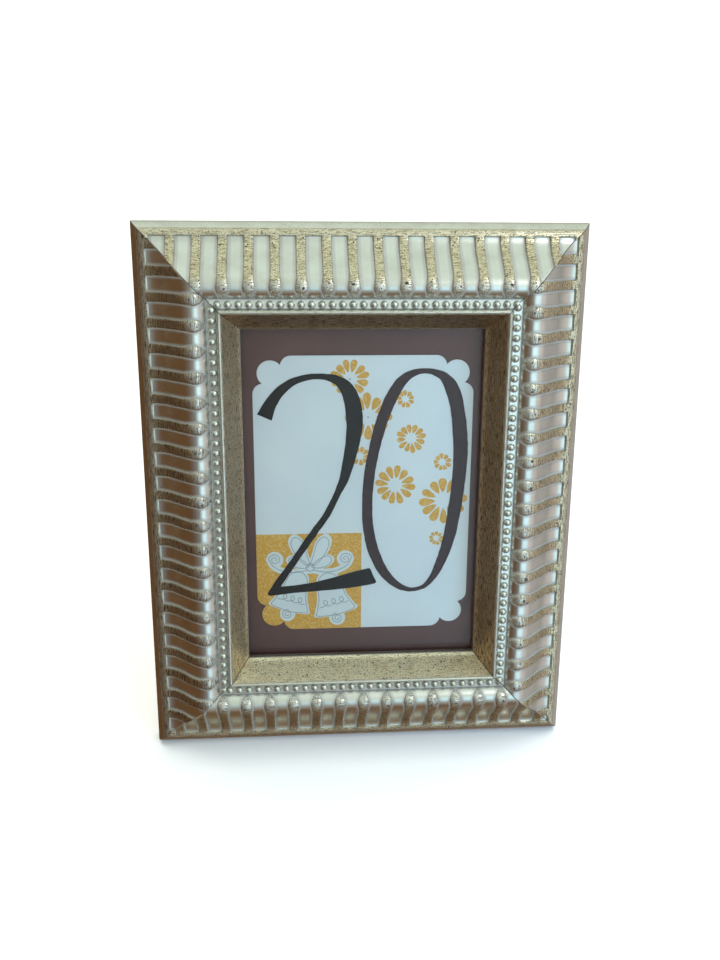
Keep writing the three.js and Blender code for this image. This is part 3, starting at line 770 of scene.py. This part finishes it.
def corner_points(side_x, side_y, turn):
    """One scalloped corner of the card."""
    points = [point for part in SCALLOP for point in arc(*part)]
    cos, sin = round(math.cos(turn)), round(math.sin(turn))
    x0, y0 = CARD_MIDDLE[0] + side_x * CARD_SIZE[0] / 2, CARD_MIDDLE[1] + side_y * CARD_SIZE[1] / 2
    return [(x0 + x * cos - y * sin, y0 + x * sin + y * cos) for x, y in points]


def card_outline():
    corners = [(-1, -1), (1, -1), (1, 1), (-1, 1)]
    return [p for k, (x, y) in enumerate(corners) for p in corner_points(x, y, k * math.pi / 2)]


def stroke(points, step, closed=False):
    """Left and right edges of a pen stroke; each point is (x, y, width)."""
    line = np.array(smooth(points, step, closed))
    normal = left_normals(line[:, :2], closed) * line[:, 2:] / 2
    return list(line[:, :2] + normal), list(line[:, :2] - normal)


def line_mesh(points, width, low, high):
    """A thin printed line through the points, which may cross itself."""
    line = np.array(points, float)
    normal = left_normals(line) * width / 2
    vertices, faces = [], []
    for k, (left, right) in enumerate(zip(line + normal, line - normal)):
        vertices += [(*left, low), (*right, low), (*right, high), (*left, high)]
        if k:
            a, b = 4 * k - 4, 4 * k
            faces += [(a + j, a + (j + 1) % 4, b + (j + 1) % 4, b + j) for j in range(4)]
    last = len(vertices) - 4
    faces += [(0, 3, 2, 1), (last, last + 1, last + 2, last + 3)]
    return mesh_of("line", vertices, faces)


TWO_STROKE = [
    # x, y and the stroke's width
    (-49.3, 41.8, 7.9), (-45.9, 48.9, 6.1), (-40.9, 55.3, 4.9), (-33.5, 60.3, 3.5), (-22.7, 62.4, 2.8),
    (-12.6, 60.2, 4.8), (-6.7, 53.8, 7.6), (-4.1, 41.7, 8.5), (-4.8, 29.6, 7.4), (-8.6, 11.7, 5.2),
    (-12.4, 2.4, 3.6), (-17.8, -9.0, 3.4), (-25.4, -20.0, 3.7), (-39.5, -40.8, 3.7), (-45.6, -49.8, 4.4),
]
TWO_FOOT = [
    (-43.4, -48.9), (-35.8, -48.4), (-25.5, -47.0), (-15.3, -44.5), (-5.0, -41.5), (4.0, -39.5),
    (4.8, -40.2), (6.1, -43.6), (7.9, -47.3), (7.2, -48.2), (3.7, -49.0), (-4.9, -50.3), (-15.3, -51.3),
    (-35.9, -52.6), (-47.6, -53.9), (-49.2, -53.6), (-49.5, -52.4),
]
ZERO_STROKE = [
    (33.0, 64.7, 2.6), (40.6, 62.0, 4.7), (45.3, 55.4, 7.0), (48.3, 45.0, 7.2), (50.4, 27.2, 7.6),
    (50.1, 10.0, 7.0), (48.5, -6.9, 6.9), (45.6, -24.8, 6.2), (40.6, -40.0, 4.6), (34.6, -49.4, 2.6),
    (27.2, -52.2, 2.2), (19.3, -49.6, 3.6), (11.6, -41.6, 5.0), (6.0, -29.4, 5.7), (3.1, -15.0, 5.5),
    (2.8, 0.0, 5.3), (4.0, 13.9, 5.6), (6.2, 25.5, 5.6), (9.4, 38.0, 5.9), (14.0, 50.3, 6.1),
    (19.2, 59.3, 5.2), (25.6, 63.8, 3.4),
]
PEN_STEP = 2.2
DAISIES = [
    # middle and radius
    (-6.4, 60.9, 10.0), (2.8, 41.5, 12.2), (21.6, 50.6, 4.7), (24.8, 30.4, 7.7), (-1.1, 21.3, 5.0),
    (41.2, 17.6, 4.8), (17.0, 5.7, 10.4), (42.3, -2.8, 12.4), (39.2, -23.6, 3.9),
]


def uneven(points, rng):
    """An edge as a hand with a broad pen draws it."""
    shake = 0.13
    return [(x + rng.uniform(-shake, shake), y + rng.uniform(-shake, shake)) for x, y in points]


def numeral_two(rng):
    left, right = stroke(TWO_STROKE, PEN_STEP)
    return [*uneven(left[:-1], rng), *TWO_FOOT, *uneven(reversed(right[:-1]), rng)]


def numeral_zero(rng):
    return [uneven(edge, rng) for edge in stroke(ZERO_STROKE, PEN_STEP, closed=True)]


def petals(x, y, radius, rng):
    """The loose petals of one daisy: narrow at the eye, broad and blunt near the tip."""
    count = 12 if radius > 7 else 9
    outlines = []
    start = rng.uniform(0, 2 * math.pi / count)
    for k in range(count):
        turn = start + 2 * math.pi * k / count + rng.uniform(-0.04, 0.04)
        inner, outer = 0.34 * radius, radius * rng.uniform(0.90, 1.04)
        half = 2.5 / count * radius * rng.uniform(0.92, 1.06)
        outline = []
        for angle in np.linspace(0, 2 * math.pi, 18, endpoint=False):
            reach = (inner + outer) / 2 + (outer - inner) / 2 * math.cos(angle)
            width = half * math.sin(angle) * (0.74 + 0.40 * math.cos(angle))
            outline.append((
                x + reach * math.cos(turn) - width * math.sin(turn),
                y + reach * math.sin(turn) + width * math.cos(turn),
            ))
        outlines.append(outline)
    return outlines


def placed(points, place, size=1.0, turn=0.0):
    """Points turned by `turn` degrees, scaled and moved to `place`."""
    cos, sin = size * math.cos(math.radians(turn)), size * math.sin(math.radians(turn))
    return [(place[0] + x * cos - y * sin, place[1] + x * sin + y * cos) for x, y in points]


BELL = [(-10.5, 0), (-9.6, 3.0), (-7.4, 8.5), (-6.3, 15), (-4.6, 20.5), (0, 23.0), (4.6, 20.5), (6.3, 15),
        (7.4, 8.5), (9.6, 3.0), (10.5, 0), (5.2, -1.3), (0, -1.8), (-5.2, -1.3)]
TALL_LOOP = [(0.3, 0), (1.9, 6.5), (3.9, 13), (7.6, 15.8), (9.9, 12.8), (8.2, 7.2), (4.2, 1.8)]
SMALL_LOOP = [(0.8, -0.6), (4.5, 3.4), (9.2, 5.6), (11.8, 3.6), (10.2, 0.4), (5.4, -1.4)]
TAIL = [(1, -2.4), (7, -3.6), (13.5, -3.0), (19, -0.2), (21.6, 4.2)]
KNOT = (-27.0, -37.5)
BELL_PLACES = [((-38.3, -61.3), 0.93, -16), ((-13.6, -63.8), 0.98, 13)]


def spiral(centre, radius, start, turns, side=1):
    """Points of a line that winds in from `radius` to its centre, from a bearing in degrees."""
    points = []
    for t in np.linspace(0, 1, round(14 * turns)):
        angle = math.radians(start) + side * 2 * math.pi * turns * t
        reach = radius * (1 - 0.85 * t)
        points.append((centre[0] + reach * math.cos(angle), centre[1] + reach * math.sin(angle)))
    return points


def bell_drawing():
    """White silhouettes on the gold ground, each an outline, and the thin lines drawn on them."""
    white, lines = [], []
    for place, size, turn in BELL_PLACES:
        body = [(1.13 * x, 1.08 * y - 0.4) for x, y in BELL]
        white.append(placed(smooth(body, 0.9, closed=True), place, size, turn))
        white.append(placed(arc((0, -3.6), 4.4, 0, 342, 20), place, size, turn))
        contour = smooth(BELL, 0.6, closed=True)
        lines.append(placed([*contour, contour[0]], place, size, turn))
        lines.append(placed(smooth(spiral((0, -3.8), 3.1, 90, 1.8), 0.4), place, size, turn))
        curls = [(-8.2, 4.2)]
        for x in (-4.4, 0.0, 4.4):
            curls += [(x - 1.0, 4.4), (x + 1.1, 5.6), (x + 0.8, 7.6)]
            curls += [(x - 0.5, 7.6), (x - 0.6, 5.6), (x + 1.2, 4.2)]
        lines.append(placed(smooth([*curls, (8.2, 4.6)], 0.3), place, size, turn))
    curl_middle = (18.4, 3.6)
    for side in (-1, 1):
        for shape, size in ((TALL_LOOP, 1.0), (SMALL_LOOP, 0.95)):
            loop = np.array([(side * x, y) for x, y in shape])
            middle = loop.mean(0)
            grown = [tuple(middle + (point - middle) * (1.32, 1.22)) for point in loop]
            white.append(placed(smooth(grown, 0.9, closed=True), KNOT, size))
            contour = smooth(loop, 0.6, closed=True)
            lines.append(placed([*contour, contour[0]], KNOT, size))
        tail = [(side * x, y) for x, y in TAIL]
        middle = (side * curl_middle[0], curl_middle[1])
        curl = spiral(middle, 3.2, 10 if side > 0 else 170, 1.7, side)
        left, right = stroke([(*point, 3.6) for point in tail], 0.6)
        white.append(placed([*left, *reversed(right)], KNOT))
        white.append(placed(arc(middle, 4.5, 0, 345, 24), KNOT))
        lines.append(placed(smooth([*tail[:4], *curl], 0.5), KNOT))
    white.append(placed(arc((0, -1), 3.6, 0, 345, 20), KNOT))
    lines.append(placed(arc((0, -1), 2.1, 0, 360, 25), KNOT))
    return white, lines


def gold_ground():
    """The gold square that bleeds off the card's left and bottom edges, scalloped with it."""
    inset = 0.02
    right, top = -0.1, -19.9
    corner = [(x + inset, y + inset) for x, y in corner_points(-1, -1, 0)]
    left, bottom = corner[0][0], corner[-1][1]
    return [(left, top), *corner, (right, bottom), (right, top)]


def print_piece(name, shapes, level, material, width=0):
    """Ink in a layer of its own: level 0 lies on the card, and each shape a hair above the last."""
    bm = bmesh.new()
    for k, shape in enumerate(shapes):
        low = CARD_FRONT + INK_START + level * INK_LAYER + INK_STEP * k
        high = low + 0.8 * INK_LAYER
        bm.from_mesh(line_mesh(shape, width, low, high) if width else filled_mesh(name, shape, low, high))
    mesh = bpy.data.meshes.new(name)
    bm.to_mesh(mesh)
    bm.free()
    piece(name, mesh, "frame", [material])


def add_card():
    back = CARD_FRONT - CARD_THICKNESS
    card_mesh = filled_mesh("card", [card_outline()], back, CARD_FRONT)
    card = piece("printed_card", card_mesh, "frame", [WHITE_CARD])
    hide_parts("number_card")
    rng = random.Random(12)
    white, lines = bell_drawing()
    eyes = [[arc(daisy[:2], 0.45, 0, 330, 12)] for daisy in DAISIES[:2]]
    print_piece("print_gold_ground", [[gold_ground()]], 0, GOLD_INK)
    print_piece("print_daisies", [petals(*daisy, rng) for daisy in DAISIES], 0, GOLD_INK)
    print_piece("print_daisy_eyes", eyes, 0, GREY_INK)
    print_piece("print_white_shapes", [[outline] for outline in white], 2.2, WHITE_INK)
    print_piece("print_lines", lines, 5.2, GREY_INK, width=0.36)
    print_piece("numeral_two", [[numeral_two(rng)]], 8, DARK_INK)
    print_piece("numeral_zero", [numeral_zero(rng)], 8, THIN_INK)
    for node, material in (("glass_pane", PANE), ("card_mount", PLUM_CARD), ("filler_card", GREY_CARD)):
        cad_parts[node].data.materials[0] = material


# ---- back


def softened(node, body, material, width, segments=2):
    """A CAD node with its triangles joined into flat faces and its edges softly rounded."""
    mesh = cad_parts[node].data.copy()
    mesh.materials.clear()
    with editing(mesh) as bm:
        bmesh.ops.remove_doubles(bm, verts=bm.verts, dist=2e-6)
        bmesh.ops.dissolve_limit(bm, angle_limit=math.radians(1.5), verts=bm.verts, edges=bm.edges)
    if "custom_normal" in mesh.attributes:
        mesh.attributes.remove(mesh.attributes["custom_normal"])
    thing = piece(node + "_finished", mesh, body, [material], Matrix.Identity(4))
    edge = {"width": width * MM, "segments": segments}
    with_modifier(thing, "BEVEL", limit_method="ANGLE", angle_limit=math.radians(40), **edge)
    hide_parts(node)


def screw_mesh():
    """A slotted pan-head screw along z: the head points to -z and the shank to +z."""
    head = [(0, -1.4), (1.2, -1.38), (2.1, -1.15), (2.75, -0.7), (3.0, -0.15), (2.95, 0)]
    shank = [(1.25, 0.0), (1.25, 8.0), (0.4, 9.3), (0, 9.35)]
    return turned_mesh("screw", [*head, *shank])


def slotted(thing, place, turn):
    """Cuts a screwdriver slot across a screw's head."""
    mesh = bpy.data.meshes.new("slot")
    with editing(mesh) as bm:
        bmesh.ops.create_cube(bm, size=1, matrix=Matrix.Diagonal((7, 0.8, 1.3, 1)))
    mesh.transform(place @ Matrix.Rotation(turn, 4, "Z") @ Matrix.Translation((0, 0, -1.45)))
    cutter = new_object("slot", mesh)
    with_modifier(thing, "BOOLEAN", object=cutter, operation="DIFFERENCE", solver="EXACT")
    bpy.data.objects.remove(cutter)


def rivet_mesh(front, back):
    """A domed rivet along z: the head stands behind the leaf, the flat foot is let into the board."""
    head = [(0, back - 1.0), (1.0, back - 0.95), (1.8, back - 0.72), (2.35, back - 0.35), (2.5, back)]
    foot = [(1.2, back), (1.2, front - 0.8), (2.1, front - 0.8), (2.1, front - 0.3), (0, front - 0.3)]
    return turned_mesh("rivet", [*head, *foot])


def add_fastenings():
    """Turn buttons and their screws, and the leg's hinge with its rivets and pin."""
    at_pin = Matrix.Translation((0, HINGE_Y, PIN_Z))
    leg_axes = FACE @ at_pin @ Matrix.Rotation(LEG_OPEN, 4, "X")
    leaf_back = BOARD_BACK - GAP - LEAF_THICKNESS
    for side, right in (("left", -1), ("right", 1)):
        for level, up in (("lower", -1), ("upper", 1)):
            softened(f"turn_button_{side}_{level}", f"button_{side}_{level}", BRASS, 0.25)
            name = f"turn_button_screw_{side}_{level}"
            head_z = BACK_Z - BUTTON_THICKNESS - 2 * GAP
            place = FACE @ Matrix.Translation((right * BUTTON_PLACE[0], up * BUTTON_PLACE[1], head_z))
            screw = piece(name + "_slotted", screw_mesh(), "frame", [BRASS], place)
            slotted(screw, place, math.radians(80 + 20 * right + 35 * up))
            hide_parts(name)
        for name, axes, y, front, back, body in (
            ("rivet_board_", FACE, HINGE_Y + RIVET_PLACE[1], BOARD_FRONT, leaf_back - GAP, "frame"),
            ("rivet_leg_", leg_axes, -RIVET_PLACE[1], LEG_FRONT, -KNUCKLE_RADIUS - GAP, "easel"),
        ):
            place = axes @ Matrix.Translation((right * RIVET_PLACE[0], y, 0))
            rivet = piece(name + side + "_domed", rivet_mesh(front, back), body, [BRASS], place)
            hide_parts(name + side)
    softened("hinge_leaf_board", "frame", BRASS, 0.15)
    softened("hinge_leaf_leg", "easel", BRASS, 0.15)
    pin_profile = [(0, -14.1), (1.2, -14.05), (1.7, -13.7), (1.75, -13.3), (1, -13.3)]
    profile = [*pin_profile, *[(r, -z) for r, z in reversed(pin_profile)]]
    place = FACE @ (at_pin @ Matrix.Rotation(math.pi / 2, 4, "Y"))
    pin = piece("hinge_pin_turned", turned_mesh("pin", profile), "frame", [STEEL], place)
    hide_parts("hinge_pin")


def ribbon_line():
    """The ribbon's middle line in the face's y and z, from its tab on the board to its tab on the leg."""
    off = GAP + RIBBON_THICKNESS / 2 + 0.05
    cos, sin = math.cos(LEG_OPEN), math.sin(LEG_OPEN)
    board, leg = [], []
    for down in (RIBBON_DROP + RIBBON_TAB, RIBBON_DROP):
        board.append((HINGE_Y - down, BOARD_BACK - off))
        y, z = -down, LEG_FRONT + off
        leg.append((HINGE_Y + y * cos - z * sin, PIN_Z + y * sin + z * cos))
    return board, leg[::-1]


def add_ribbon():
    """The satin ribbon: a thin closed strip with a slight sag and a slight cup across it."""
    board, leg = ribbon_line()
    start, end = np.array(board[1]), np.array(leg[0])
    span = []
    for t in np.linspace(0, 1, 40):
        sag = -0.5 * math.sin(math.pi * t)
        span.append(start + (end - start) * t + np.array([sag, 0]))
    line = np.array([board[0], *span, leg[1]])
    normal = left_normals(line)
    arcs = arc_lengths(line)
    widths = np.linspace(-1, 1, 11) * RIBBON_WIDTH / 2
    vertices, along, across = [], [], []
    for face in (1, -1):
        for k, place in enumerate(line):
            for x in widths:
                cup = 0.10 * (x / widths[-1]) ** 2 * math.sin(math.pi * k / (len(line) - 1))
                y, z = place + normal[k] * (face * RIBBON_THICKNESS / 2 + cup)
                vertices.append((x, y, z))
                along.append(arcs[k])
                across.append(x)
    rows, columns = len(line), len(widths)
    top = grid_faces(rows, columns)
    base = rows * columns
    faces = top + [tuple(base + v for v in reversed(f)) for f in top]
    for k in range(rows - 1):
        for edge in (0, columns - 1):
            a, b = k * columns + edge, (k + 1) * columns + edge
            faces.append((a, b, base + b, base + a))
    for k in (0, rows - 1):
        a = k * columns
        faces += [(a + j, base + a + j, base + a + j + 1, a + j + 1) for j in range(columns - 1)]
    mesh = mesh_of("ribbon", vertices, faces, {"along": along, "across": across})
    ribbon = finished("ribbon_satin", mesh, [SATIN], sharp=50)
    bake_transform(ribbon)
    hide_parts("ribbon_stay")


def add_back():
    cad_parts["backing_board"].data.materials[0] = BLACK_BOARD
    softened("easel_leg", "easel", BLACK_BOARD, 0.45, 3)
    softened("staple_board", "frame", STEEL, 0.15)
    softened("staple_leg", "easel", STEEL, 0.15)
    for name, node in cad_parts.items():
        if name.startswith("corner_nail"):
            node.data.materials[0] = STEEL
    add_fastenings()
    add_ribbon()


# ---- stage


ROOM_COLOUR = (0.13, 0.062, 0.022)
LOBES = [
    # Soft light from each side of the room: direction, reach in degrees and colour
    ((0.1, 0.0, 1.0), 100, (0.64, 0.82, 0.76)), ((0.0, 0.0, -1.0), 50, (0.05, 0.045, 0.03)),
    ((0.90, 0.30, -0.32), 80, (0.30, 0.34, 0.37)), ((0.40, -0.92, -0.04), 36, (0.46, 0.92, 1.16)),
    ((0.76, -0.64, -0.08), 46, (0.38, 0.35, 0.33)), ((0.10, -0.95, 0.30), 34, (0.34, 0.42, 0.40)),
    ((0.05, -0.88, -0.47), 32, (0.22, 0.24, 0.22)), ((-0.46, -0.89, -0.05), 30, (0.05, 0.09, 0.13)),
]


def add_world():
    """A brown room with the lobes' light in it: full at a lobe's direction, none its reach away."""
    n = Nodes("studio", "worlds")
    bpy.context.scene.world = n.owner
    total = ROOM_COLOUR
    for direction, reach, colour in LOBES:
        ray = n.add("ShaderNodeTexCoord", "Generated", {})
        dot = n.vector("DOT_PRODUCT", "Value", {0: ray, 1: Vector(direction).normalized()})
        fall = n.math("POWER", n.ramp(dot, math.cos(math.radians(reach)), 1.0), 1.5)
        light = n.vector("SCALE", "Vector", {0: colour, "Scale": fall})
        total = n.vector("ADD", "Vector", {0: total, 1: light})
    n.link(total, n.tree.nodes["Background"].inputs["Color"])


def add_floor():
    bpy.ops.mesh.primitive_plane_add(size=40)
    floor = bpy.context.object
    floor.name = "floor"
    n = Nodes("floor")
    floor.data.materials.append(n.finish(Base_Color=(0.86, 0.85, 0.83), Roughness=0.8))
    floor.visible_glossy = False


def add_light(name, kind, place, target, size, power, colour, glossy=False):
    """A soft light.  A sun's size is an angle.  Only a glossy light is seen in the leaf and the glass."""
    light = bpy.data.lights.new(name, kind)
    if kind == "SUN":
        light.angle = size
    else:
        light.size = size
    light.energy = power
    light.color = colour
    thing = new_object(name, light)
    thing.visible_glossy = glossy
    thing.location = place
    thing.rotation_euler = (Vector(target) - Vector(place)).to_track_quat("-Z", "Y").to_euler()


def add_camera():
    """The photograph's camera, in the face's own axes."""
    camera = bpy.data.cameras.new("camera")
    camera.lens = CAMERA_LENS
    camera.clip_start = 0.01
    thing = new_object("camera", camera)
    turns = [Matrix.Rotation(math.radians(a), 4, axis) for a, axis in zip(CAMERA_TURNS, "XYZ")]
    turn = turns[2] @ turns[1] @ turns[0]
    face_turn = Matrix.Rotation(math.pi / 2 - LEAN_BACK, 4, "X")
    thing.matrix_world = Matrix.Translation(FACE @ Vector(CAMERA_PLACE)) @ face_turn @ turn.transposed()
    bpy.context.scene.camera = thing


add_camera()
add_moulding()
add_card()
add_back()
add_floor()
add_world()
add_light("ceiling", "SUN", (0.15, 0.5, 1.2), (0, 0, 0), math.radians(100), 2.6, (1.0, 1.0, 1.0))
add_light("window", "AREA", (0.45, -0.40, 0.30), LIGHT_TARGET, 0.30, 2.1, (0.26, 0.55, 1.0))
add_light("room", "AREA", (-0.65, -0.95, 0.7), LIGHT_TARGET, 0.9, 2.0, (1.0, 0.97, 0.93))
add_light("glint", "AREA", (0.45, -0.5, 0.75), LIGHT_TARGET, 0.22, 1.1, (0.92, 0.96, 1.0), True)
bpy.context.scene.view_settings.view_transform = "Standard"
